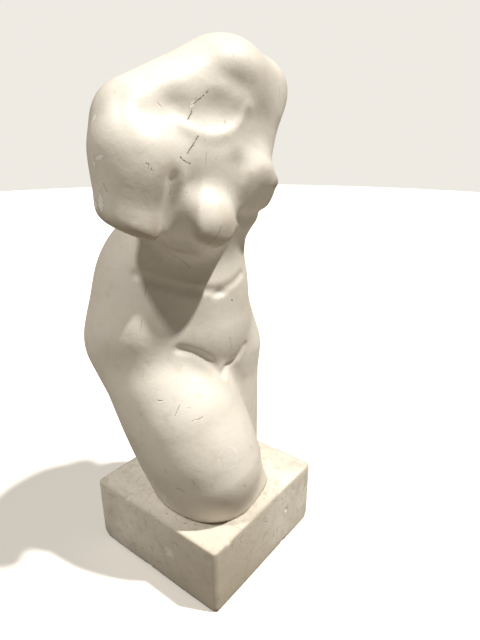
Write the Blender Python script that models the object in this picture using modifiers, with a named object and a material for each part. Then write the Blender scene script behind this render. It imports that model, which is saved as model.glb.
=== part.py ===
"""Plaster torso cast on a square plinth: a headless, armless classical figure for drawing classes.

The frame is in metres with +Z up. The origin is the centre of the plinth's resting face, the
figure faces -Y, and +X is the figure's left. Lengths in the tables of masses are millimetres.

The figure is modelled the way it would be built in clay: overlapping masses are packed together,
made into one skin, and smoothed. It stands on the plinth over two threaded rods, one in each
thigh, which are clamped by washers and nuts in recesses under the plinth.
"""

import math

import bmesh
import bpy
from mathutils import Euler, Matrix, Vector

MM = 0.001
GAP = 0.0003  # clearance between pieces that touch

PLINTH_SIDE = 0.160
PLINTH_HEIGHT = 0.0713
PLINTH_CORNER_RADIUS = 0.005
PLINTH_EDGE_RADIUS = 0.0025

FIGURE_BASE = PLINTH_HEIGHT + GAP
SKIN_VOXEL = 0.0035
HOLLOWS_FILLED = 0.010  # how far the skin swells and shrinks back, which rounds out the creases
SHRINK_LEFT_TO_SMOOTHING = 0.0035
SWELL_SMOOTHING = 16
LAST_SMOOTHING = 6
SKIN_KEPT_SHARE = 0.16

ROD_RADIUS = 0.004
ROD_BOTTOM = 0.004
ROD_TOP = 0.165
ROD_PLACES = {"right": (-0.016, -0.022), "left": (0.041, 0.015)}

RECESS_RADIUS = 0.017
RECESS_DEPTH = 0.016
WASHER_RADIUS = 0.014
WASHER_THICKNESS = 0.0025
NUT_ACROSS_FLATS = 0.013
NUT_HEIGHT = 0.0065

ROUND_SIDES = 32

# Each mass of the figure is (centre, half-axes, turn in degrees), in millimetres.
PELVIS_MASSES = {
    "pelvis": ((-8, 24, 238), (76, 50, 44), (0, 6, -6)),
    "right_buttock": ((-44, 48, 230), (44, 40, 46), (0, 0, 0)),
    "left_buttock": ((28, 46, 216), (42, 38, 44), (0, 0, 0)),
    "right_hip": ((-54, 28, 250), (30, 40, 52), (0, 0, 0)),
    "lower_belly": ((-8, 4, 242), (50, 42, 54), (0, 0, 0)),
    "right_thigh": ((-33, -6, 150), (56, 50, 104), (-19, 2, 38)),
    "front_of_right_thigh": ((-27, -43, 121), (34, 34, 48), (0, 0, 0)),
}
TRUNK_MASSES = {
    "belly": ((-8, 6, 284), (46, 40, 36), (0, 0, 0)),
    "small_of_back": ((-14, 32, 300), (54, 34, 50), (0, 0, 0)),
    "right_flank": ((-38, 42, 280), (33, 35, 46), (0, 0, 0)),
    "left_waist": ((17, 8, 280), (28, 36, 56), (0, 0, 0)),
    "rib_cage": ((2, 4, 345), (51, 44, 54), (8, -12, 0)),
    "upper_chest": ((-2, -6, 400), (68, 38, 40), (14, -12, 0)),
    "middle_of_chest": ((-4, -15, 372), (42, 34, 36), (0, 0, 0)),
    "upper_back": ((2, 20, 400), (64, 37, 56), (12, -14, 0)),
    "right_shoulder": ((-71, -8, 391), (32, 33, 41), (-20, 0, 0)),
    "left_shoulder": ((60, -8, 439), (38, 30, 29), (0, 0, 0)),
    "right_breast": ((-31, -32, 343), (25, 27, 26), (0, 0, 0)),
    "side_of_right_breast": ((-42, -19, 345), (24, 22, 22), (0, 0, 0)),
    "left_breast": ((24, -28, 366), (25, 30, 26), (0, 0, -12)),
}
# Each tapered limb is (start, end, start radius, end radius), in millimetres.
TRUNK_LIMBS = {
    "left_side_of_chest": ((50, -16, 420), (36, -15, 376), 24, 27),
    "left_trapezius": ((22, -14, 446), (62, -8, 440), 29, 27),
    "right_trapezius": ((-64, 5, 421), (2, -8, 445), 26, 29),
    "neck_root": ((4, -4, 410), (22, -15, 443), 34, 30),
    "left_hip": ((17, 12, 290), (39, 17, 203), 28, 42),
}
THIGH_LIMBS = {
    "right_thigh_front": ((-31, -19, 135), (-15, -31, 50), 46, 40),
    "right_thigh_inner": ((-20, -12, 176), (17, -40, 50), 34, 27),
    "right_thigh_back": ((-42, 30, 200), (-20, -6, 50), 43, 36),
    "left_thigh": ((40, 17, 200), (44, 12, 50), 43, 37),
}
RIGHT_ARM = ((-74, -6, 396), (-85, -12, 300), 30, 25)
RIGHT_ARM_CUT = ((-80, -5, 343), (-0.28, 0.24, -0.90))  # a point of the stump's face, its normal
LEFT_SHOULDER_CUT = ((90, -8, 430), (1, -0.15, 0))
THROAT_HOLLOW = ((-6, -50, 420), (26, 20, 17), (0, 0, 0))


def clear_scene():
    for item in list(bpy.data.objects):
        bpy.data.objects.remove(item, do_unlink=True)


def new_collection(name):
    collection = bpy.data.collections.new(name)
    bpy.context.scene.collection.children.link(collection)
    return collection


def new_material(name, colour, roughness, metallic=0.0):
    material = bpy.data.materials.new(name)
    material.use_nodes = True
    shader = material.node_tree.nodes["Principled BSDF"]
    shader.inputs["Base Color"].default_value = (*colour, 1.0)
    shader.inputs["Roughness"].default_value = roughness
    shader.inputs["Metallic"].default_value = metallic
    return material


def add_object(name, shape, collection, material=None):
    """Turn a bmesh into an object of the collection."""
    bmesh.ops.recalc_face_normals(shape, faces=shape.faces)
    mesh = bpy.data.meshes.new(name)
    shape.to_mesh(mesh)
    shape.free()
    piece = bpy.data.objects.new(name, mesh)
    collection.objects.link(piece)
    if material:
        mesh.materials.append(material)
    return piece


def smooth_shade(piece, sharp_degrees):
    piece.data.shade_smooth()
    piece.data.set_sharp_from_angle(angle=math.radians(sharp_degrees))


def add_cutter(name, shape, collection):
    cutter = add_object(name, shape, collection)
    cutter.hide_render = True
    cutter.display_type = "WIRE"
    return cutter


def cut(piece, cutter):
    boolean = piece.modifiers.new("cut_" + cutter.name, "BOOLEAN")
    boolean.operation = "DIFFERENCE"
    boolean.solver = "EXACT"
    boolean.object = cutter


def add_ellipsoid(shape, centre, half_axes, turn, sides=32):
    place = Matrix.Translation(Vector(centre) * MM)
    spin = Euler([math.radians(angle) for angle in turn]).to_matrix().to_4x4()
    size = Matrix.Diagonal((*[half * MM for half in half_axes], 1.0))
    bmesh.ops.create_uvsphere(
        shape, u_segments=sides, v_segments=sides // 2, radius=1.0, matrix=place @ spin @ size
    )


def tapered_limb(start, end, start_radius, end_radius):
    """A limb as the convex hull of a ball at each end."""
    limb = bmesh.new()
    add_ellipsoid(limb, start, (start_radius,) * 3, (0, 0, 0))
    add_ellipsoid(limb, end, (end_radius,) * 3, (0, 0, 0))
    bmesh.ops.delete(limb, geom=limb.edges[:], context="EDGES_FACES")
    bmesh.ops.convex_hull(limb, input=limb.verts)
    loose = [vert for vert in limb.verts if not vert.link_faces]
    bmesh.ops.delete(limb, geom=loose, context="VERTS")
    return limb


def cut_flat(shape, point, normal):
    """Cut away what lies beyond a plane and close the opening."""
    everything = shape.verts[:] + shape.edges[:] + shape.faces[:]
    made = bmesh.ops.bisect_plane(
        shape,
        geom=everything,
        plane_co=Vector(point) * MM,
        plane_no=Vector(normal).normalized(),
        clear_outer=True,
    )
    rim = [edge for edge in made["geom_cut"] if isinstance(edge, bmesh.types.BMEdge)]
    bmesh.ops.contextual_create(shape, geom=rim)


def pack_on(clay, lump):
    """Add one closed mass to the figure, and free it."""
    bmesh.ops.recalc_face_normals(lump, faces=lump.faces)
    carrier = bpy.data.meshes.new("lump")
    lump.to_mesh(carrier)
    lump.free()
    clay.from_mesh(carrier)
    bpy.data.meshes.remove(carrier)


def figure_clay():
    """Every mass of the figure, overlapping, in one mesh."""
    clay = bmesh.new()
    for centre, half_axes, turn in [*PELVIS_MASSES.values(), *TRUNK_MASSES.values()]:
        lump = bmesh.new()
        add_ellipsoid(lump, centre, half_axes, turn)
        pack_on(clay, lump)
    for start, end, start_radius, end_radius in [*TRUNK_LIMBS.values(), *THIGH_LIMBS.values()]:
        pack_on(clay, tapered_limb(start, end, start_radius, end_radius))
    arm = tapered_limb(*RIGHT_ARM)
    cut_flat(arm, *RIGHT_ARM_CUT)
    pack_on(clay, arm)
    return clay


def remesh(piece, voxel):
    modifier = piece.modifiers.new("one_skin", "REMESH")
    modifier.mode = "VOXEL"
    modifier.voxel_size = voxel


def push_out(piece, distance):
    modifier = piece.modifiers.new("pushed_out", "DISPLACE")
    modifier.mid_level = 0.0
    modifier.strength = distance


def smooth(piece, iterations):
    modifier = piece.modifiers.new("smoothed", "SMOOTH")
    modifier.factor = 0.5
    modifier.iterations = iterations


def fill_creases(piece):
    """Swell the skin until the creases close, smooth it, and shrink it back."""
    push_out(piece, HOLLOWS_FILLED)
    remesh(piece, SKIN_VOXEL)
    smooth(piece, SWELL_SMOOTHING)
    push_out(piece, SHRINK_LEFT_TO_SMOOTHING - HOLLOWS_FILLED)
    remesh(piece, SKIN_VOXEL)


def block(size, centre, normal=(0, 0, 1)):
    """A box centred on a point, with its own Z along a normal."""
    turn = Vector(normal).to_track_quat("Z", "Y").to_matrix().to_4x4()
    shape = bmesh.new()
    bmesh.ops.create_cube(
        shape,
        size=1.0,
        matrix=Matrix.Translation(centre) @ turn @ Matrix.Diagonal((*size, 1.0)),
    )
    return shape


def make_torso(parts, cutters, material):
    """The cast figure: one skin over the packed masses, flat where it stands, with two sockets."""
    torso = add_object("torso", figure_clay(), parts, material)
    remesh(torso, SKIN_VOXEL)
    fill_creases(torso)

    point, normal = LEFT_SHOULDER_CUT
    beyond = Vector(point) * MM + Vector(normal).normalized() * 0.05
    cut(torso, add_cutter("shoulder_block", block((0.2, 0.2, 0.1), beyond, normal), cutters))
    hollow = bmesh.new()
    add_ellipsoid(hollow, *THROAT_HOLLOW)
    cut(torso, add_cutter("throat_ball", hollow, cutters))

    remesh(torso, SKIN_VOXEL)
    smooth(torso, LAST_SMOOTHING)
    thin = torso.modifiers.new("fewer_faces", "DECIMATE")
    thin.ratio = SKIN_KEPT_SHARE

    below = Vector((0, 0, FIGURE_BASE - 0.05))
    cut(torso, add_cutter("ground_block", block((0.3, 0.3, 0.1), below), cutters))
    for side, place in ROD_PLACES.items():
        socket = cylinder(place, ROD_RADIUS + GAP, FIGURE_BASE - 0.01, ROD_TOP + GAP)
        cut(torso, add_cutter("socket_" + side, socket, cutters))
    torso.data.shade_smooth()
    return torso


def upright_edges(shape):
    return [e for e in shape.edges if abs(e.verts[0].co.z - e.verts[1].co.z) > PLINTH_HEIGHT / 2]


def rim_edges(shape):
    """Edges between a side face and the top or the resting face."""
    return [
        edge
        for edge in shape.edges
        if abs(edge.link_faces[0].normal.z - edge.link_faces[1].normal.z) ** 2 > 0.5
    ]


def make_plinth(parts, cutters, material):
    """The base block: worn round at its corners, bored for the rods and recessed underneath."""
    middle = Vector((0, 0, PLINTH_HEIGHT / 2))
    shape = block((PLINTH_SIDE, PLINTH_SIDE, PLINTH_HEIGHT), middle)
    bmesh.ops.bevel(
        shape,
        geom=upright_edges(shape),
        offset=PLINTH_CORNER_RADIUS,
        segments=6,
        profile=0.5,
        affect="EDGES",
    )
    shape.normal_update()
    bmesh.ops.bevel(
        shape,
        geom=rim_edges(shape),
        offset=PLINTH_EDGE_RADIUS,
        segments=3,
        profile=0.5,
        affect="EDGES",
    )
    plinth = add_object("plinth", shape, parts, material)
    for side, place in ROD_PLACES.items():
        bore = cylinder(place, ROD_RADIUS + GAP, -0.01, PLINTH_HEIGHT + 0.01)
        recess = cylinder(place, RECESS_RADIUS, -0.01, RECESS_DEPTH)
        cut(plinth, add_cutter("bore_" + side, bore, cutters))
        cut(plinth, add_cutter("recess_" + side, recess, cutters))
    smooth_shade(plinth, 35)
    return plinth


def make_rod(side, parts, material):
    """A threaded rod, plain here, with chamfered ends."""
    shape = cylinder(ROD_PLACES[side], ROD_RADIUS, ROD_BOTTOM, ROD_TOP, 24)
    ends = [e for e in shape.edges if abs(e.verts[0].co.z - e.verts[1].co.z) < MM]
    bmesh.ops.bevel(shape, geom=ends, offset=0.0006, segments=1, affect="EDGES")
    smooth_shade(add_object("thigh_rod_" + side, shape, parts, material), 35)


def make_washer(side, parts, cutters, material):
    top = RECESS_DEPTH - GAP
    shape = cylinder(ROD_PLACES[side], WASHER_RADIUS, top - WASHER_THICKNESS, top)
    washer = add_object("washer_" + side, shape, parts, material)
    hole = cylinder(ROD_PLACES[side], ROD_RADIUS + GAP, 0, PLINTH_HEIGHT, 24)
    cut(washer, add_cutter("washer_hole_" + side, hole, cutters))
    smooth_shade(washer, 35)


def make_nut(side, parts, cutters, material):
    top = RECESS_DEPTH - GAP - WASHER_THICKNESS - GAP
    corner_radius = NUT_ACROSS_FLATS / math.sqrt(3)
    shape = cylinder(ROD_PLACES[side], corner_radius, top - NUT_HEIGHT, top, 6)
    rims = [e for e in shape.edges if abs(e.verts[0].co.z - e.verts[1].co.z) < MM]
    bmesh.ops.bevel(shape, geom=rims, offset=0.0005, segments=1, affect="EDGES")
    nut = add_object("nut_" + side, shape, parts, material)
    hole = cylinder(ROD_PLACES[side], ROD_RADIUS + GAP, 0, PLINTH_HEIGHT, 24)
    cut(nut, add_cutter("nut_hole_" + side, hole, cutters))
    nut.data.shade_flat()


def cylinder(centre, radius, bottom, top, sides=ROUND_SIDES):
    shape = bmesh.new()
    bmesh.ops.create_cone(
        shape,
        cap_ends=True,
        segments=sides,
        radius1=radius,
        radius2=radius,
        depth=top - bottom,
        matrix=Matrix.Translation((centre[0], centre[1], (bottom + top) / 2)),
    )
    return shape


def main():
    clear_scene()
    parts = new_collection("torso_cast")
    cutters = new_collection("cutters")
    figure_plaster = new_material("figure_plaster", (0.74, 0.71, 0.65), 0.55)
    plinth_plaster = new_material("plinth_plaster", (0.62, 0.59, 0.52), 0.80)
    zinc_steel = new_material("zinc_steel", (0.62, 0.63, 0.64), 0.40, metallic=1.0)

    make_torso(parts, cutters, figure_plaster)
    make_plinth(parts, cutters, plinth_plaster)
    for side in ROD_PLACES:
        make_rod(side, parts, zinc_steel)
        make_washer(side, parts, cutters, zinc_steel)
        make_nut(side, parts, cutters, zinc_steel)


main()
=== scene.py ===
"""Looks of the plaster torso cast: the sculpted figure, the worn plinth, and every material.

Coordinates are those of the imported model: origin at the centre of the plinth's resting face, +Z up,
the figure facing -Y, +X its left. The sculpting tables are in millimetres, and so are the functions
that read them; the finished meshes are in metres.

The figure is sculpted as a distance field: rounded masses blended into one skin, then cuts, swellings
and tool strokes, turned into a mesh with OpenVDB. The plinth is carved from a block the same way.
"""

import math

import bpy
import numpy as np
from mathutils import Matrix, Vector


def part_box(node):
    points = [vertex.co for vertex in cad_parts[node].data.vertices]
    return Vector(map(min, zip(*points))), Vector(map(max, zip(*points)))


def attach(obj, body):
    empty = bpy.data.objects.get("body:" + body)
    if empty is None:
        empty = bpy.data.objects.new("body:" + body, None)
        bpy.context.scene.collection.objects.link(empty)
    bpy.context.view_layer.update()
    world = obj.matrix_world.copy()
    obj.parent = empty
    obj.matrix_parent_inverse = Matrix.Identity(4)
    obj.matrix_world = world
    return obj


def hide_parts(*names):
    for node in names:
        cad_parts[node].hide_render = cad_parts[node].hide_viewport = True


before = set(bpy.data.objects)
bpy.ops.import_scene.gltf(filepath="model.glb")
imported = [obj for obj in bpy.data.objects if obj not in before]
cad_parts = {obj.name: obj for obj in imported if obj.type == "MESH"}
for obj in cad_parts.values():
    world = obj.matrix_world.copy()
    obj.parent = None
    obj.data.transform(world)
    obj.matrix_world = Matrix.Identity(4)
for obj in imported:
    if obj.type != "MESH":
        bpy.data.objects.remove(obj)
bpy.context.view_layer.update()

import openvdb
from mathutils import Vector

MM = 1000.0  # millimetres in a metre
FIGURE_STEP = 1.5  # grid steps of the sculpting, in millimetres
PLINTH_STEP = 1.3
RODS = ("thigh_rod_right", "thigh_rod_left")

BALL, LIMB = "ball", "limb"

# Each mass is (name, kind, shape, blend). A ball is (centre, half-axes, turn in degrees), and a limb
# is (start, end, start radius, end radius). Blend is how softly it runs into the masses before it.
TRUNK = [
    ("pelvis", BALL, ((-8, 24, 238), (76, 50, 44), (0, 6, -6)), 0),
    ("right buttock", BALL, ((-44, 48, 230), (44, 40, 46), (0, 0, 0)), 10),
    ("left buttock", BALL, ((28, 46, 216), (42, 38, 44), (0, 0, 0)), 8),
    ("right hip", BALL, ((-54, 28, 250), (30, 40, 52), (0, 0, 0)), 22),
    ("left hip", LIMB, ((17, 12, 290), (39, 17, 203), 28, 42), 24),
    ("lower belly", BALL, ((-8, 4, 242), (50, 42, 54), (0, 0, 0)), 16),
    ("belly", BALL, ((-8, 6, 284), (46, 40, 36), (0, 0, 0)), 16),
    ("small of back", BALL, ((-14, 32, 300), (54, 34, 50), (0, 0, 0)), 22),
    ("right flank", BALL, ((-38, 42, 280), (33, 35, 46), (0, 0, 0)), 24),
    ("left waist", BALL, ((17, 8, 280), (28, 36, 56), (0, 0, 0)), 22),
    ("ribs", BALL, ((2, 4, 345), (51, 44, 54), (8, -12, 0)), 18),
    ("upper chest", BALL, ((-2, -6, 400), (68, 38, 40), (14, -12, 0)), 16),
    ("upper back", BALL, ((2, 20, 400), (64, 37, 56), (12, -14, 0)), 18),
    ("right shoulder", BALL, ((-71, -8, 391), (32, 33, 41), (-20, 0, 0)), 16),
    ("left shoulder", BALL, ((60, -8, 439), (38, 30, 29), (0, 0, 0)), 18),
    ("left trapezius", LIMB, ((22, -14, 446), (62, -8, 440), 29, 27), 12),
    ("left side", LIMB, ((50, -16, 420), (36, -15, 376), 24, 27), 16),
    ("right trapezius", LIMB, ((-64, 5, 421), (2, -8, 445), 26, 29), 18),
    ("neck root", LIMB, ((4, -4, 410), (22, -15, 443), 34, 30), 20),
    ("middle of chest", BALL, ((-4, -15, 372), (42, 34, 36), (0, 0, 0)), 16),
    ("side of right breast", BALL, ((-42, -19, 345), (24, 22, 22), (0, 0, 0)), 16),
    ("right breast", BALL, ((-31, -32, 343), (25, 27, 26), (0, 0, 0)), 14),
]
LEFT_BREAST = ((22, -30, 364), (27, 32, 34), (0, 0, -12))
LEFT_BREAST_UNDERSIDE = ((38, -59, 369), (-0.17, -0.82, -0.55))
RIGHT_ARM = ((-74, -6, 396), (-85, -12, 300), 30, 25)
RIGHT_ARM_CUT = ((-80, -5, 343), (-0.28, 0.24, -0.90))
ARMPIT = ((-68, -42, 378), (-66, -37, 336), 3, 10)
LEFT_SHOULDER_CUT = ((90, -8, 430), (1, -0.15, 0))
RIGHT_THIGH = [
    ("thigh", BALL, ((-33, -6, 150), (55, 50, 101), (-19, 2, 38)), 0),
    ("lower thigh", LIMB, ((-31, -19, 135), (-15, -31, 50), 46, 40), 14),
    ("inner thigh", LIMB, ((-20, -12, 176), (17, -40, 50), 34, 27), 16),
    ("front of thigh", LIMB, ((-37, -24, 168), (-27, -42, 115), 28, 34), 24),
    ("back of thigh", LIMB, ((-42, 30, 200), (-20, -6, 50), 43, 36), 16),
]
LEFT_THIGH = ((40, 17, 200), (44, 12, 50), 43, 37)
ARM_BLEND, BREAST_BLEND, THIGH_BLEND = 7, 15, 12
CUT_BLEND, SHOULDER_CUT_BLEND, ARMPIT_BLEND = 9, 8, 12
FIGURE_BASE, BASE_EDGE = 71.6, 1.0  # where the figure is cut flat, and how softly
FIGURE_LOW, FIGURE_HIGH = (-125, -95, 60), (110, 110, 495)
SOCKET_PLAY = 0.3

# Swellings (+) and hollows (-): centre, radii, height. They settle onto the skin by themselves.
FADE = 3  # a swelling or a stroke is gone beyond this many of its radii or widths
SWELLINGS = [
    ((-19, -38, 421), (24, 14, 13), -3.8),
    ((-74, -26, 421), (13, 14, 13), -5),
    ((-51, -29, 428), (10, 12, 10), -4),
    ((-4, -41, 443), (22, 14, 10), -3.4),
    ((-14, -38, 441), (12, 12, 7), 2),
    ((38, -60, 369), (5, 5, 5), 2.2),
    ((-14, -36, 281), (6, 6, 2.6), -6),
]
# Strokes of the tool: points, width, height (- is a groove).
STROKES = {
    "rim of the throat": ([(-52, -35, 417), (-38, -38, 410),
                           (-26, -40, 407), (-12, -43, 409), (0, -45, 415), (9, -46, 426)], 5, 1.4),
    "breastbone": ([(-8, -46, 385), (-10, -50, 365), (-10, -46, 345)], 8, -1.8),
    "under right breast": ([(-60, -30, 331), (-48, -44, 327),
                            (-34, -44, 328), (-20, -44, 336)], 6, -2.6),
    "under left breast": ([(2, -44, 346), (16, -44, 340), (34, -40, 342), (48, -24, 350)], 5, -3),
    "waist": ([(-63, 13, 300), (-48, -18, 292), (-30, -30, 287), (-14, -34, 284), (4, -32, 286),
               (16, -29, 290)], 3, -2.4),
    "right groin": ([(-55, -25, 240), (-41, -30, 233), (-26, -34, 220), (-14, -40, 206)], 3.2, -2.6),
    "left groin": ([(-14, -40, 206), (2, -34, 206), (17, -24, 206), (28, -26, 216)], 3.2, -3.0),
    "spine": ([(3, 58, 420), (0, 56, 400), (-6, 50, 350), (-12, 62, 300), (-12, 70, 262)], 8, -4),
    "between buttocks": ([(-10, 84, 252), (-8, 86, 220), (-6, 80, 190)], 5, -9),
    "under right buttock": ([(-60, 76, 184), (-40, 80, 182), (-22, 78, 184), (-8, 70, 190)], 7, -3),
    "under left buttock": ([(0, 70, 180), (14, 76, 175), (30, 76, 174), (46, 68, 176)], 7, -3),
}


def turn(degrees):
    """Rotation matrix for turns about x, then y, then z."""
    x, y, z = np.radians(degrees)
    about_x = [[1, 0, 0], [0, math.cos(x), -math.sin(x)], [0, math.sin(x), math.cos(x)]]
    about_y = [[math.cos(y), 0, math.sin(y)], [0, 1, 0], [-math.sin(y), 0, math.cos(y)]]
    about_z = [[math.cos(z), -math.sin(z), 0], [math.sin(z), math.cos(z), 0], [0, 0, 1]]
    return np.array(about_z) @ np.array(about_y) @ np.array(about_x)


def ball(points, centre, half_axes, degrees=(0, 0, 0)):
    """Distance to an ellipsoid, near enough close to its surface."""
    local = (points - np.array(centre, np.float32)) @ turn(degrees).astype(np.float32)
    axes = np.array(half_axes, np.float32)
    near = np.sqrt(((local / axes) ** 2).sum(-1))
    slope = np.sqrt(((local / axes**2) ** 2).sum(-1))
    return near * (near - 1) / np.maximum(slope, 1e-6)


def limb(points, start, end, start_radius, end_radius):
    """Distance to a rod with round ends whose radius changes along it."""
    start, end = np.array(start, np.float32), np.array(end, np.float32)
    along = end - start
    share = np.clip(((points - start) @ along) / (along @ along), 0, 1)
    off = points - start - share[..., None] * along
    return np.sqrt((off**2).sum(-1)) - (start_radius + (end_radius - start_radius) * share)


def beyond(points, point, normal):
    """Distance past a plane."""
    normal = np.array(normal, np.float32)
    return (points - np.array(point, np.float32)) @ (normal / np.linalg.norm(normal))


def join(a, b, blend):
    """Keeps what is inside a or b, with a fillet of the blend's width between them."""
    share = np.clip(0.5 + 0.5 * (b - a) / max(blend, 1e-3), 0, 1)
    return b + (a - b) * share - blend * share * (1 - share)


def carve(a, b, blend):
    """Keeps what is inside both a and b."""
    return -join(-a, -b, blend)


def packed(points, masses):
    """Distance to all the masses of a table, run together in their order."""
    whole = None
    for _name, kind, shape, blend in masses:
        mass = ball(points, *shape) if kind == BALL else limb(points, *shape)
        whole = mass if whole is None else join(whole, mass, blend)
    return whole


def figure_masses(points):
    """Distance to the figure without its swellings and strokes."""
    arm = carve(limb(points, *RIGHT_ARM), beyond(points, *RIGHT_ARM_CUT), CUT_BLEND)
    body = join(packed(points, TRUNK), arm, ARM_BLEND)
    breast = carve(ball(points, *LEFT_BREAST), beyond(points, *LEFT_BREAST_UNDERSIDE), CUT_BLEND)
    body = join(body, breast, BREAST_BLEND)
    body = carve(body, -limb(points, *ARMPIT), ARMPIT_BLEND)
    body = carve(body, beyond(points, *LEFT_SHOULDER_CUT), SHOULDER_CUT_BLEND)
    body = join(body, limb(points, *LEFT_THIGH), THIGH_BLEND)
    return join(body, packed(points, RIGHT_THIGH), THIGH_BLEND)


def settle(points, field, rounds=30, pace=0.6, least_slope=0.5):
    """Moves rough points onto the skin of a field, down its slope."""
    points = np.array(points, np.float64)
    for _ in range(rounds):
        height = field(points)
        slope = [(field(points + step) - field(points - step)) / 2 for step in np.eye(3)]
        slope = np.stack(slope, -1)
        steepness = np.maximum((slope**2).sum(-1), least_slope**2)
        points = points - pace * (height / steepness)[..., None] * slope
    return points


def smooth_path(points, parts=4):
    """A Catmull-Rom curve through the points."""
    ends = np.vstack([2 * points[0] - points[1], points, 2 * points[-1] - points[-2]])
    path = []
    for i in range(1, len(ends) - 2):
        a, b, c, d = ends[i - 1 : i + 3]
        for t in np.linspace(0, 1, parts, endpoint=False):
            bend = (2 * a - 5 * b + 4 * c - d) * t * t + (3 * b - a - 3 * c + d) * t**3
            path.append(0.5 * (2 * b + (c - a) * t + bend))
    path.append(ends[-2])
    return np.array(path)


def squares_from_path(points, path):
    """Squared distance from each point to the path."""
    nearest = np.full(points.shape[:-1], np.inf)
    for start, end in zip(path[:-1], path[1:]):
        along = end - start
        share = np.clip(((points - start) @ along) / (along @ along), 0, 1)
        nearest = np.minimum(nearest, ((points - start - share[..., None] * along) ** 2).sum(-1))
    return nearest


def make_details():
    """Settles the swellings and strokes on the skin, and returns the function that adds them."""
    lumps = [
        (settle([centre], figure_masses)[0], np.array(radii), height)
        for centre, radii, height in SWELLINGS
    ]
    strokes = [
        (smooth_path(settle(path, figure_masses)), width, height)
        for path, width, height in STROKES.values()
    ]

    def add(points, skin):
        for centre, radii, height in lumps:
            reach = (((points - centre) / radii) ** 2).sum(-1)
            close = reach < FADE**2
            skin[close] -= height * np.exp(-reach[close])
        for path, width, height in strokes:
            low, high = path.min(0) - FADE * width, path.max(0) + FADE * width
            close = ((points > low) & (points < high)).all(-1)
            if close.any():
                reach = squares_from_path(points[close], path) / width**2
                skin[close] -= height * np.exp(-reach)
        return skin

    return add


def upright(name):
    """Middle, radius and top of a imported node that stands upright, in millimetres."""
    low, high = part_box(name)
    return np.array((low + high) / 2) * MM, (high.x - low.x) * MM / 2, high.z * MM


def from_axis(points, middle):
    """Distance to the upright line through the middle."""
    return np.sqrt(((points[..., :2] - middle[:2]) ** 2).sum(-1))


def rod_sockets(points, skin):
    """Takes out the bores that the two thigh rods stand in."""
    for name in RODS:
        middle, radius, top = upright(name)
        across = from_axis(points, middle) - (radius + SOCKET_PLAY)
        bore = np.maximum(across, points[..., 2] - top - SOCKET_PLAY)
        skin = np.maximum(skin, -bore)
    return skin


def grid_points(low, high, step):
    """Points of a box-shaped grid, as an array with one axis for each direction."""
    counts = np.ceil((np.array(high) - low) / step).astype(int) + 1
    axes = [low[i] + step * np.arange(counts[i]) for i in range(3)]
    return np.stack(np.meshgrid(*axes, indexing="ij"), -1).astype(np.float32)


def skin_of(field, rough, low, high, step, margin=7.0, block=4, chunk=200000):
    """Vertices and faces of a field's skin. The fine grid is only worked out near the rough skin."""
    coarse_low = np.array(low, float) + (block - 1) * step / 2
    coarse = rough(grid_points(coarse_low, high, block * step))
    volume = coarse.repeat(block, 0).repeat(block, 1).repeat(block, 2)
    block_corner = block * step * 0.9
    index = np.argwhere(np.abs(volume) < margin + block_corner)
    for part in np.array_split(index, max(1, len(index) // chunk)):
        points = (np.array(low) + part * step).astype(np.float32)
        volume[tuple(part.T)] = field(points)
    band = 4 * step
    grid = openvdb.FloatGrid(band)
    grid.copyFromArray(np.clip(volume, -band, band).astype(np.float32))
    vertices, quads = grid.convertToQuads()
    return vertices * step + np.array(low), quads[:, ::-1]


def mesh_piece(name, vertices, faces, smoothing):
    """A smooth-shaded object from millimetre vertices, with a modifier that relaxes it a little."""
    mesh = bpy.data.meshes.new(name)
    mesh.from_pydata((vertices / MM).tolist(), [], faces.tolist())
    mesh.update()
    mesh.shade_smooth()
    piece = bpy.data.objects.new(name, mesh)
    bpy.context.scene.collection.objects.link(piece)
    relax = piece.modifiers.new("relax", "SMOOTH")
    relax.iterations = smoothing
    relax.factor = 0.5
    return piece


def detailed_skin():
    """The figure's field with its swellings and strokes, before it is cut flat and bored."""
    details = make_details()
    return lambda points: details(points, figure_masses(points))


def make_figure(detailed):
    """The sculpted figure, cut flat where it stands on the plinth and bored for the rods."""

    def field(points):
        skin = carve(detailed(points), FIGURE_BASE - points[..., 2], BASE_EDGE)
        return rod_sockets(points, skin)

    vertices, faces = skin_of(field, figure_masses, FIGURE_LOW, FIGURE_HIGH, FIGURE_STEP)
    vertices[:, 2] = np.maximum(vertices[:, 2], FIGURE_BASE)
    return mesh_piece("figure", vertices, faces, 3)


# The plinth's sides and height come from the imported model. This is how it is worn, in millimetres.
CORNER_RADIUS = 5.0
EDGE_RADIUS = 2.6
WEAR = 0.35
WAVES = [(0.35, 70, 3), (0.12, 17, 5)]  # height, length, seed: the unevenness of its faces
FLAT_FOOT = 4.0  # below this height the resting face is kept flat
CHIP_WAVES = (0.5, 6, 11)
CHIP_BLEND = 1.2
BORE_PLAY, RECESS_PLAY = 0.5, 3.0
GRID_ROOM, WEAR_MARGIN = 8, 22
CHIPS = [  # centre, radius: bites out of the edges
    ((-60, -80, 73), 4.5), ((79, -30, 73), 4.0), ((-80, 34, 72.5), 3.6), ((-20, -81, 73), 3.0),
    ((-81, -79, 1), 3.6), ((30, -82, -1), 5.0), ((81, -79, 0), 7.0), ((-82, 10, -1), 4.6),
    ((79, 79, 1), 7.5), ((-80, 80, 0), 7.0), ((20, 81, 73), 4.0), ((81, 42, -1), 5.0),
    ((-81, -30, 52), 2.2), ((34, -80.6, 40), 2.6), ((80.8, 15, 30), 2.4), ((-10, 80.8, 24), 2.6),
]


def ripple(points, size, seed, waves=6):
    """A smooth wave pattern between -1 and 1 made of a few crossing waves."""
    turns = np.random.default_rng(seed)
    total = np.zeros(points.shape[:-1])
    for _ in range(waves):
        direction = turns.normal(size=3)
        direction /= np.linalg.norm(direction)
        phase = points @ direction * (2 * math.pi / size) * turns.uniform(0.7, 1.4)
        total += np.sin(phase + turns.uniform(0, 6.28))
    return total / waves


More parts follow.
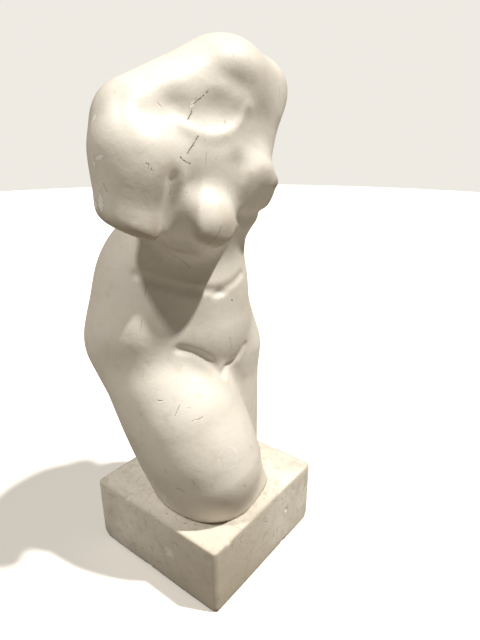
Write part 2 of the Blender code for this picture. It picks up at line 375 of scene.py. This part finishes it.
def make_plinth():
    """The base block with worn edges, chips, the rods' bores and the washers' recesses."""
    low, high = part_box("plinth")
    half = np.array([(high.x - low.x) * MM / 2, (high.y - low.y) * MM / 2])
    top = high.z * MM
    rods = [upright(name) for name in RODS]
    rod_radius = rods[0][1]
    _place, washer_radius, washer_top = upright("washer_right")

    def block(points):
        flat = np.abs(points[..., :2]) - (half - CORNER_RADIUS)
        side = np.sqrt((np.maximum(flat, 0) ** 2).sum(-1)) + np.minimum(flat.max(-1), 0)
        side = side - CORNER_RADIUS
        tall = np.abs(points[..., 2] - top / 2) - top / 2
        pair = np.stack([side + EDGE_RADIUS, tall + EDGE_RADIUS], -1)
        outside = np.sqrt((np.maximum(pair, 0) ** 2).sum(-1))
        return outside + np.minimum(pair.max(-1), 0) - EDGE_RADIUS

    def field(points):
        level = points[..., 2]
        worn = block(points) + WEAR
        for height, length, seed in WAVES:
            worn = worn + height * ripple(points, length, seed)
        worn = np.where(level < FLAT_FOOT, np.maximum(worn, -level), worn)
        for centre, radius in CHIPS:
            dent = np.sqrt(((points - np.array(centre)) ** 2).sum(-1)) - radius
            dent = dent + CHIP_WAVES[0] * ripple(points, *CHIP_WAVES[1:])
            worn = carve(worn, -dent, CHIP_BLEND)
        for middle, _radius, _top in rods:
            across = from_axis(points, middle)
            recess = np.maximum(across - washer_radius - RECESS_PLAY, level - washer_top - SOCKET_PLAY)
            worn = np.maximum(worn, -np.minimum(across - rod_radius - BORE_PLAY, recess))
        return worn

    room = GRID_ROOM
    low_mm = np.array([low.x * MM - room, low.y * MM - room, -room])
    high_mm = np.array([high.x * MM + room, high.y * MM + room, top + room])
    vertices, faces = skin_of(field, block, low_mm, high_mm, PLINTH_STEP, margin=WEAR_MARGIN)
    return mesh_piece("block", vertices, faces, 1)


class Nodes:
    """Builds one material's node tree in few words. Sockets are passed around as values."""

    def __init__(self, name):
        self.material = bpy.data.materials.new(name)
        self.material.use_nodes = True
        self.tree = self.material.node_tree
        self.shader = self.tree.nodes["Principled BSDF"]
        place = self.tree.nodes.new("ShaderNodeTexCoord").outputs["Object"]
        self.place = self.vector("MULTIPLY", place, (MM, MM, MM))

    def link(self, socket, value):
        """Feeds a socket from another socket, or sets it to a plain value."""
        if isinstance(value, bpy.types.NodeSocket):
            self.tree.links.new(value, socket)
        else:
            socket.default_value = value

    def vector(self, operation, *values):
        node = self.tree.nodes.new("ShaderNodeVectorMath")
        node.operation = operation
        for socket, value in zip(node.inputs, values):
            self.link(socket, value)
        scalar = operation in ("DOT_PRODUCT", "LENGTH", "DISTANCE")
        return node.outputs["Value" if scalar else "Vector"]

    def math(self, operation, *values, clamp=False):
        node = self.tree.nodes.new("ShaderNodeMath")
        node.operation = operation
        node.use_clamp = clamp
        for socket, value in zip(node.inputs, values):
            self.link(socket, value)
        return node.outputs[0]

    def noise(self, size, detail=3.0, roughness=0.55, place=None, distortion=0.0):
        """Fractal noise whose features are about size millimetres."""
        node = self.tree.nodes.new("ShaderNodeTexNoise")
        self.link(node.inputs["Vector"], self.place if place is None else place)
        node.inputs["Scale"].default_value = 1.0 / size
        node.inputs["Detail"].default_value = detail
        node.inputs["Roughness"].default_value = roughness
        node.inputs["Distortion"].default_value = distortion
        return node.outputs["Fac"]

    def both(self, a, b):
        return self.math("MULTIPLY", a, b)

    def without(self, value):
        return self.math("SUBTRACT", 1.0, value)

    def off_middle(self, value):
        """How far a value is from 0.5. Near 0, noise makes thin winding lines."""
        return self.math("ABSOLUTE", self.math("SUBTRACT", value, 0.5))

    def height(self):
        node = self.tree.nodes.new("ShaderNodeSeparateXYZ")
        self.link(node.inputs[0], self.place)
        return node.outputs["Z"]

    def cells(self, size):
        """Distance to the nearest of scattered points that are about size millimetres apart."""
        node = self.tree.nodes.new("ShaderNodeTexVoronoi")
        self.link(node.inputs["Vector"], self.place)
        node.inputs["Scale"].default_value = 1.0 / size
        return node.outputs["Distance"]

    def between(self, value, low, high):
        """0 at low and 1 at high, smooth in between."""
        node = self.tree.nodes.new("ShaderNodeMapRange")
        node.interpolation_type = "SMOOTHSTEP"
        self.link(node.inputs["Value"], value)
        node.inputs["From Min"].default_value = low
        node.inputs["From Max"].default_value = high
        return node.outputs["Result"]

    def attribute(self, name):
        node = self.tree.nodes.new("ShaderNodeAttribute")
        node.attribute_name = name
        return node.outputs["Fac"]

    def mix(self, share, a, b):
        node = self.tree.nodes.new("ShaderNodeMix")
        node.data_type = "RGBA"
        self.link(node.inputs["Factor"], share)
        self.link(node.inputs["A"], a)
        self.link(node.inputs["B"], b)
        return node.outputs["Result"]

    def cover(self, body, where, strength, tone):
        """Lays a tone over the body, as strong as given where the mask is 1."""
        return self.mix(self.both(where, strength), body, tone)

    def bump(self, height, depth, strength=1.0, under=None):
        """Bump from a height between 0 and 1 that stands for depth millimetres."""
        node = self.tree.nodes.new("ShaderNodeBump")
        node.inputs["Strength"].default_value = strength
        node.inputs["Distance"].default_value = depth / MM
        self.link(node.inputs["Height"], height)
        if under is not None:
            self.link(node.inputs["Normal"], under)
        return node.outputs["Normal"]

    def from_line(self, place, points):
        """Distance in millimetres from place to a line through the points."""
        nearest = None
        for start, end in zip(points[:-1], points[1:]):
            along = Vector(end) - Vector(start)
            offset = self.vector("SUBTRACT", place, start)
            share = self.both(self.vector("DOT_PRODUCT", offset, along), 1 / along.length_squared)
            share = self.math("MINIMUM", self.math("MAXIMUM", share, 0.0), 1.0)
            foot = self.vector("MULTIPLY_ADD", along, self.spread(share), start)
            gap = self.vector("DISTANCE", place, foot)
            nearest = gap if nearest is None else self.math("MINIMUM", nearest, gap)
        return nearest

    def spread(self, value):
        """The same value in all three directions."""
        node = self.tree.nodes.new("ShaderNodeCombineXYZ")
        for socket in node.inputs:
            self.link(socket, value)
        return node.outputs[0]


def colour(red, green, blue):
    return (red, green, blue, 1.0)


HOLLOW = "hollow"
LEVEL, HOLLOW_PER_MM = 0.5, 0.25
FIGURE_HOLLOW_ROUNDS, PLINTH_HOLLOW_ROUNDS = 24, 12


def mark_hollows(piece, rounds):
    """Stores how deep each vertex lies below its surroundings, LEVEL being even with them."""
    graph = bpy.context.evaluated_depsgraph_get()
    done = piece.evaluated_get(graph).to_mesh()
    count = len(done.vertices)
    place = np.empty(count * 3, np.float32)
    normal = np.empty(count * 3, np.float32)
    done.vertices.foreach_get("co", place)
    done.vertices.foreach_get("normal", normal)
    edges = np.empty(len(done.edges) * 2, np.int32)
    done.edges.foreach_get("vertices", edges)
    place, normal, edges = place.reshape(-1, 3), normal.reshape(-1, 3), edges.reshape(-1, 2)
    degree = np.bincount(edges.ravel(), minlength=count)[:, None]
    start, end = edges.T
    calm = place.copy()
    for _ in range(rounds):
        total = [
            np.bincount(start, calm[end, i], count) + np.bincount(end, calm[start, i], count)
            for i in range(3)
        ]
        calm = np.stack(total, -1) / degree
    depth = ((calm - place) * normal).sum(-1) * MM
    attribute = piece.data.attributes.new(HOLLOW, "FLOAT", "POINT")
    share = np.clip(LEVEL + depth * HOLLOW_PER_MM, 0, 1)
    attribute.data.foreach_set("value", share.astype(np.float32))


# Marks of age on the figure, in millimetres. They settle onto the skin by themselves.
CRACKS = [
    [(-23, -34, 437), (-27, -34, 434), (-36, -31, 428), (-38, -32, 423), (-42, -32, 419)],
    [(-38, -36, 407), (-44, -37, 401), (-51, -38, 396)],
    [(-61, -40, 394), (-55, -39, 391), (-49, -38, 389)],
]
SCRATCHES = [
    [(-89, -36, 392), (-86, -38, 387)],
    [(-45, -11, 319), (-34, -20, 306)],
    [(-76, -44, 204), (-80, -40, 193)],
    [(-70, -52, 188), (-60, -56, 189)],
    [(-104, -14, 372), (-106, -10, 380)],
    [(88, -14, 452), (90, -4, 440)],
    [(30, 88, 232), (36, 84, 218)],
    [(-52, 76, 300), (-44, 74, 310)],
]
FLAKES = [  # centre, radii, turn in degrees: where the skin is knocked off and whiter plaster shows
    ((-36, -31, 429), (1.6, 2.0, 3.4), (0, 35, 0)),
    ((-97, 4, 419), (2.0, 1.6, 3.6), (20, 0, 0)),
    ((-105, -9, 395), (1.4, 4.5, 1.5), (-15, 0, 0)),
    ((-105, -2, 391), (1.4, 2.6, 1.2), (25, 0, 0)),
    ((-105, 6, 362), (4.0, 8.0, 3.2), (-12, 0, 0)),
    ((-107, -6, 366), (4.0, 3.2, 6.0), (0, 0, 0)),
    ((-101, 16, 360), (5.0, 5.0, 2.6), (0, 0, 0)),
    ((89, -24, 446), (3.0, 3.6, 1.6), (30, 0, 0)),
    ((91, 6, 428), (3.0, 2.0, 4.0), (0, 0, 0)),
    ((62, 40, 96), (2.6, 3.0, 4.0), (0, 0, 0)),
    ((-52, 86, 236), (2.4, 2.4, 3.4), (0, 30, 0)),
    ((30, 56, 420), (3.6, 2.4, 1.8), (0, 20, 0)),
]
PITS = [(-1, -37, 271), (20, -60, 100), (-40, 80, 260), (36, 50, 390), (10, 60, 330)]
WATER_RING, WATER_RING_RADIUS = (-46, -68, 147), 9.5  # left on the thigh by something wet
LOW_SHADE_TOP, LOW_SHADE_END = 95.0, 190.0  # heights between which the painted shade near the base thins out

FIGURE_TONES = {
    "warm": colour(0.79, 0.755, 0.69),
    "pale": colour(0.83, 0.80, 0.745),
    "cloud": colour(0.73, 0.68, 0.60),
    "stain": colour(0.66, 0.60, 0.50),
    "grime_and_shade": colour(0.47, 0.41, 0.33),
    "rubbed": colour(0.87, 0.85, 0.81),
    "low_shade": colour(0.50, 0.45, 0.37),
    "speck": colour(0.40, 0.35, 0.28),
    "hairline": colour(0.45, 0.39, 0.31),
    "soiled rim": colour(0.50, 0.44, 0.36),
    "cleft": colour(0.30, 0.25, 0.19),
    "score": colour(0.42, 0.37, 0.30),
    "fresh plaster": colour(0.93, 0.92, 0.89),
    "pit": colour(0.25, 0.20, 0.15),
    "ring": colour(0.92, 0.91, 0.88),
}


def nearest_of(n, gaps):
    """The smallest of several distances."""
    nearest = gaps[0]
    for gap in gaps[1:]:
        nearest = n.math("MINIMUM", nearest, gap)
    return nearest


def flake_gap(n, place, centre, radii, degrees):
    """How far outside a turned ellipsoid a place is, in units of its size, from -1 at its middle."""
    local = n.vector("SUBTRACT", place, centre)
    rows = [Vector(row) for row in turn(degrees).T]
    parts = [n.math("DIVIDE", n.vector("DOT_PRODUCT", local, row), r) for row, r in zip(rows, radii)]
    squares = [n.both(part, part) for part in parts]
    total = n.math("ADD", n.math("ADD", squares[0], squares[1]), squares[2])
    return n.math("SUBTRACT", n.math("SQRT", total), 1.0)


def gap_to_lines(n, place, lines, skin):
    """Distance to the nearest of several lines, each settled on the skin first."""
    return nearest_of(n, [n.from_line(place, list(settle(line, skin))) for line in lines])


def figure_material(skin):
    """Old cast plaster: warm, rubbed to a faint sheen, greyer in the hollows with grime and painted
    shade, darker low down with painted shade, cracked and chipped.
    """
    n = Nodes("figure_plaster")
    tone = FIGURE_TONES
    broad = n.noise(70, 2)
    cloud = n.noise(22, 4)
    grain = n.noise(3.0, 5, 0.65)
    coarse = n.noise(1.6, 3, 0.7)
    wobble = n.vector("ADD", n.place, n.spread(n.math("MULTIPLY_ADD", n.noise(4, 3), 3.0, -1.5)))

    # Broad colour: clouds, stains, grime and painted shade in the hollows, rubbed crests, painted shade
    # low down.
    body = n.mix(n.between(broad, 0.35, 0.65), tone["warm"], tone["pale"])
    body = n.cover(body, n.between(cloud, 0.45, 0.72), 0.5, tone["cloud"])
    stain = n.both(n.between(n.noise(11, 5, 0.6), 0.55, 0.72), n.between(broad, 0.42, 0.6))
    body = n.cover(body, stain, 0.35, tone["stain"])
    # Grime and painted shade: the hollows are darkened, partly as dirt and partly as the shade that
    # falls in them.
    hollow = n.between(n.attribute(HOLLOW), 0.54, 0.90)
    grime_and_shade = n.math("MULTIPLY", hollow, n.math("MULTIPLY_ADD", cloud, 0.8, 0.45), clamp=True)
    body = n.mix(grime_and_shade, body, tone["grime_and_shade"])
    crest = n.between(n.attribute(HOLLOW), 0.45, 0.15)
    body = n.cover(body, crest, 0.5, tone["rubbed"])
    # Painted shade: the figure is darkened towards its foot, most strongly at the lowest heights.
    ragged_height = n.math("ADD", n.height(), n.both(cloud, 40.0))
    body = n.cover(body, n.between(ragged_height, LOW_SHADE_END, LOW_SHADE_TOP), 0.36, tone["low_shade"])

    # Specks and hairlines, scattered by noise.
    specks = n.both(n.between(n.cells(7.0), 0.10, 0.05), n.between(cloud, 0.5, 0.6))
    body = n.cover(body, specks, 0.6, tone["speck"])
    long_place = n.vector("MULTIPLY", n.place, (1.0, 1.0, 0.35))
    hairline = n.between(n.off_middle(n.noise(34, 1, 0.5, long_place, 0.3)), 0.005, 0.001)
    hairline = n.both(hairline, n.between(n.noise(15, 2), 0.58, 0.66))
    body = n.cover(body, hairline, 0.4, tone["hairline"])

    # Cracks, scratches, flakes and pits, each in its own place.
    crack = gap_to_lines(n, wobble, CRACKS, skin)
    cleft = n.both(n.between(crack, 0.65, 0.15), n.between(coarse, 0.32, 0.46))
    beside = n.both(n.between(crack, 2.6, 0.8), n.between(coarse, 0.45, 0.6))
    body = n.cover(body, beside, 0.4, tone["soiled rim"])
    body = n.cover(body, cleft, 0.9, tone["cleft"])

    scratch = gap_to_lines(n, wobble, SCRATCHES, skin)
    score = n.both(n.between(scratch, 0.7, 0.15), n.between(coarse, 0.3, 0.5))
    body = n.cover(body, score, 0.6, tone["score"])

    flakes = [
        flake_gap(n, wobble, settle([centre], skin)[0], radii, degrees)
        for centre, radii, degrees in FLAKES
    ]
    ragged = n.math("MULTIPLY_ADD", coarse, 1.5, -0.75)
    flake = n.math("ADD", nearest_of(n, flakes), ragged)
    chip = n.between(flake, 0.1, -0.15)
    rim = n.both(n.between(flake, 0.45, 0.1), n.without(chip))
    body = n.cover(body, rim, 0.35, tone["soiled rim"])
    body = n.cover(body, chip, 0.85, tone["fresh plaster"])

    pit_gaps = [n.vector("DISTANCE", wobble, settle([place], skin)[0]) for place in PITS]
    pit = n.between(nearest_of(n, pit_gaps), 1.5, 0.7)
    body = n.cover(body, pit, 0.8, tone["pit"])

    ring_middle = settle([WATER_RING], skin)[0]
    ring_gap = n.math("SUBTRACT", n.vector("DISTANCE", n.place, ring_middle), WATER_RING_RADIUS)
    ring = n.between(n.math("ABSOLUTE", ring_gap), 1.3, 0.3)
    ring = n.both(ring, n.between(n.noise(5, 2), 0.35, 0.6))
    body = n.cover(body, ring, 0.45, tone["ring"])
    n.link(n.shader.inputs["Base Color"], body)

    rough = n.math("MULTIPLY_ADD", cloud, 0.22, 0.34)
    rough = n.math("ADD", rough, n.both(n.math("ADD", grime_and_shade, chip), 0.25), clamp=True)
    n.link(n.shader.inputs["Roughness"], rough)
    n.shader.inputs["Specular IOR Level"].default_value = 0.45

    cuts = n.math("MAXIMUM", cleft, n.both(n.math("MAXIMUM", score, hairline), 0.5))
    relief = n.bump(n.noise(9, 3), 0.45, 0.7)
    relief = n.bump(grain, 0.14, 0.7, relief)
    relief = n.bump(n.without(n.math("MAXIMUM", cuts, pit)), 0.6, 1.0, relief)
    relief = n.bump(n.without(chip), 0.45, 1.0, relief)
    relief = n.bump(n.both(chip, coarse), 0.5, 1.0, relief)
    n.link(n.shader.inputs["Normal"], relief)
    return n.material


SHADED_CORNER = (-80, -76, 10)  # painted shade: the plinth is darkened around this lower corner, out to the reach below in millimetres
CORNER_SHADE_CORE, CORNER_SHADE_REACH = 25.0, 125.0
BLOTCH = (-82, -22, 38)  # a pale rubbed patch on the plinth's right side
BLOTCH_CORE, BLOTCH_REACH = 3.0, 9.0
PLINTH_TONES = {
    "dull": colour(0.75, 0.71, 0.63),
    "light": colour(0.86, 0.82, 0.75),
    "mottle": colour(0.50, 0.46, 0.39),
    "smudge": colour(0.45, 0.40, 0.32),
    "foot": colour(0.46, 0.41, 0.33),
    "corner_shade": colour(0.42, 0.37, 0.29),
    "worn edge": colour(0.84, 0.82, 0.77),
    "dent": colour(0.52, 0.47, 0.39),
    "blotch": colour(0.84, 0.81, 0.75),
    "pit": colour(0.27, 0.23, 0.18),
    "scrape": colour(0.46, 0.41, 0.34),
}


def plinth_material():
    """The same plaster left rough: matt, darkened by painted shade around one lower corner, pale where
    its edges are worn.
    """
    n = Nodes("plinth_plaster")
    tone = PLINTH_TONES
    cloud = n.noise(30, 5, 0.6)
    smudge = n.noise(11, 5, 0.65)
    fine = n.noise(4, 6, 0.7)
    grit = n.noise(1.2, 3, 0.7)

    # Broad colour: mottling, smudges, a darker foot, painted shade around the lower front corner.
    body = n.mix(n.between(cloud, 0.35, 0.68), tone["dull"], tone["light"])
    body = n.cover(body, n.between(fine, 0.5, 0.75), 0.55, tone["mottle"])
    body = n.cover(body, n.between(smudge, 0.5, 0.68), 0.35, tone["smudge"])
    ragged_height = n.math("ADD", n.height(), n.both(cloud, 24.0))
    body = n.cover(body, n.between(ragged_height, 44.0, 6.0), 0.5, tone["foot"])
    # Painted shade: the plinth's colour is darkened around its lower front corner, fading with
    # distance.
    corner_shade = n.vector("DISTANCE", n.place, SHADED_CORNER)
    corner_shade = n.between(corner_shade, CORNER_SHADE_REACH, CORNER_SHADE_CORE)
    corner_shade = n.math("MULTIPLY", corner_shade, n.math("ADD", cloud, 0.25), clamp=True)
    body = n.cover(body, corner_shade, 0.85, tone["corner_shade"])

    # Wear: pale edges, darker dents, the blotch, pits and scrapes.
    edge = n.between(n.attribute(HOLLOW), 0.44, 0.22)
    worn = n.both(edge, n.between(n.noise(7, 4, 0.7), 0.38, 0.55))
    body = n.cover(body, worn, 0.85, tone["worn edge"])
    dent = n.between(n.attribute(HOLLOW), 0.56, 0.75)
    body = n.cover(body, dent, 0.5, tone["dent"])
    blotch = n.between(n.vector("DISTANCE", n.place, BLOTCH), BLOTCH_REACH, BLOTCH_CORE)
    blotch = n.both(blotch, n.between(n.noise(4, 3), 0.3, 0.55))
    body = n.cover(body, blotch, 0.7, tone["blotch"])
    pits = n.both(n.between(n.cells(13.0), 0.085, 0.05), n.between(cloud, 0.47, 0.55))
    body = n.cover(body, pits, 0.75, tone["pit"])
    flat_place = n.vector("MULTIPLY", n.place, (0.5, 0.5, 3.0))
    scrape = n.between(n.off_middle(n.noise(30, 3, 0.5, flat_place, 0.4)), 0.010, 0.002)
    scrape = n.both(scrape, n.between(n.noise(13, 2), 0.52, 0.62))
    body = n.cover(body, scrape, 0.3, tone["scrape"])
    n.link(n.shader.inputs["Base Color"], body)

    n.link(n.shader.inputs["Roughness"], n.math("MULTIPLY_ADD", fine, 0.25, 0.62, clamp=True))
    n.shader.inputs["Specular IOR Level"].default_value = 0.3

    relief = n.bump(n.noise(14, 4), 0.6, 0.8)
    relief = n.bump(fine, 0.35, 0.9, relief)
    relief = n.bump(grit, 0.12, 0.8, relief)
    cuts = n.math("MAXIMUM", pits, n.both(scrape, 0.5))
    relief = n.bump(n.without(cuts), 0.6, 1.0, relief)
    n.link(n.shader.inputs["Normal"], relief)
    return n.material


STEEL_TONES = {
    "dull": colour(0.60, 0.61, 0.62),
    "bright": colour(0.72, 0.73, 0.72),
    "rust": colour(0.42, 0.36, 0.28),
}
THREAD_SCALE, THREAD_DEPTH = 0.04, 0.5


def steel_material():
    """Zinc-plated steel with a thread cut along its height."""
    n = Nodes("zinc_steel")
    tone = STEEL_TONES
    cloud = n.noise(5, 4)
    body = n.mix(n.between(cloud, 0.35, 0.65), tone["dull"], tone["bright"])
    body = n.mix(n.between(n.noise(2.2, 4, 0.7), 0.62, 0.75), body, tone["rust"])
    n.link(n.shader.inputs["Base Color"], body)
    n.shader.inputs["Metallic"].default_value = 1.0
    n.link(n.shader.inputs["Roughness"], n.math("MULTIPLY_ADD", cloud, 0.25, 0.28))
    wave = n.tree.nodes.new("ShaderNodeTexWave")
    wave.bands_direction = "Z"
    wave.wave_profile = "TRI"
    n.link(wave.inputs["Vector"], n.place)
    wave.inputs["Scale"].default_value = THREAD_SCALE
    n.link(n.shader.inputs["Normal"], n.bump(wave.outputs["Fac"], THREAD_DEPTH, 0.8))
    return n.material


FLOOR_COLOUR, FLOOR_BOUNCE = colour(1.0, 0.98, 0.95), colour(0.20, 0.18, 0.15)
WALL_COLOUR, ROOM_COLOUR = colour(0.86, 0.83, 0.77), colour(0.135, 0.122, 0.102)
FLOOR_RADIUS, FLOOR_SIDES = 3, 96
SUNS = [  # name, direction it stands in, strength, width in degrees, tint
    ("key", (0.20, -0.39, 0.90), 4.0, 2.5, (1.0, 0.955, 0.875)),
    ("side", (-0.42, 0.12, 0.89), 1.7, 5, (1.0, 0.96, 0.89)),
]
SENSOR_WIDTH, LENS = 36, 28.69
CAMERA_PLACE = (-0.32646, -0.29984, 0.421)
CAMERA_HEADING, CAMERA_DIP = 0.662885, 0.381488  # in radians, from +X towards +Y and downwards


def stage_floor():
    """A plain pale floor. It looks white, but sends back less light, as a small table would."""
    mesh = bpy.data.meshes.new("floor")
    angles = np.linspace(0, 2 * math.pi, FLOOR_SIDES, endpoint=False)
    corners = [(math.cos(angle) * FLOOR_RADIUS, math.sin(angle) * FLOOR_RADIUS, 0) for angle in angles]
    mesh.from_pydata(corners, [], [list(range(len(corners)))])
    floor = bpy.data.objects.new("floor", mesh)
    bpy.context.scene.collection.objects.link(floor)
    n = Nodes("floor")
    seen = n.tree.nodes.new("ShaderNodeLightPath").outputs["Is Camera Ray"]
    n.link(n.shader.inputs["Base Color"], n.mix(seen, FLOOR_BOUNCE, FLOOR_COLOUR))
    n.shader.inputs["Roughness"].default_value = 0.9
    mesh.materials.append(n.material)


def sun(name, towards, strength, width, tint):
    """A lamp in the given direction, whose shadows are as soft as its width in degrees."""
    data = bpy.data.lights.new(name, "SUN")
    data.energy = strength
    data.angle = math.radians(width)
    data.color = tint
    lamp = bpy.data.objects.new(name, data)
    bpy.context.scene.collection.objects.link(lamp)
    lamp.rotation_euler = (-Vector(towards)).to_track_quat("-Z", "Y").to_euler()


def light_scene():
    """The suns and a dim room around them, which looks like a pale wall to the camera."""
    for lamp in SUNS:
        sun(*lamp)
    world = bpy.data.worlds.new("studio")
    world.use_nodes = True
    tree = world.node_tree
    background = tree.nodes["Background"]
    mix = tree.nodes.new("ShaderNodeMix")
    mix.data_type = "RGBA"
    mix.inputs["A"].default_value = ROOM_COLOUR
    mix.inputs["B"].default_value = WALL_COLOUR
    tree.links.new(tree.nodes.new("ShaderNodeLightPath").outputs["Is Camera Ray"], mix.inputs["Factor"])
    tree.links.new(mix.outputs["Result"], background.inputs["Color"])
    bpy.context.scene.world = world
    bpy.context.scene.view_settings.view_transform = "Standard"


def place_camera():
    data = bpy.data.cameras.new("camera")
    data.sensor_width = SENSOR_WIDTH
    data.lens = LENS
    data.clip_start = 0.01
    camera = bpy.data.objects.new("camera", data)
    bpy.context.scene.collection.objects.link(camera)
    camera.location = CAMERA_PLACE
    level, down = math.cos(CAMERA_DIP), math.sin(CAMERA_DIP)
    facing = (math.cos(CAMERA_HEADING) * level, math.sin(CAMERA_HEADING) * level, -down)
    camera.rotation_euler = Vector(facing).to_track_quat("-Z", "Y").to_euler()
    bpy.context.scene.camera = camera


def main():
    skin = detailed_skin()
    figure = make_figure(skin)
    mark_hollows(figure, FIGURE_HOLLOW_ROUNDS)
    figure.data.materials.append(figure_material(skin))
    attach(figure, "root")
    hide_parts("torso")

    block = make_plinth()
    mark_hollows(block, PLINTH_HOLLOW_ROUNDS)
    block.data.materials.append(plinth_material())
    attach(block, "root")
    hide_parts("plinth")

    steel = steel_material()
    for name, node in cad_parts.items():
        if name.startswith(("thigh_rod", "washer", "nut")):
            for slot in node.material_slots:
                slot.material = steel

    stage_floor()
    light_scene()
    place_camera()


main()
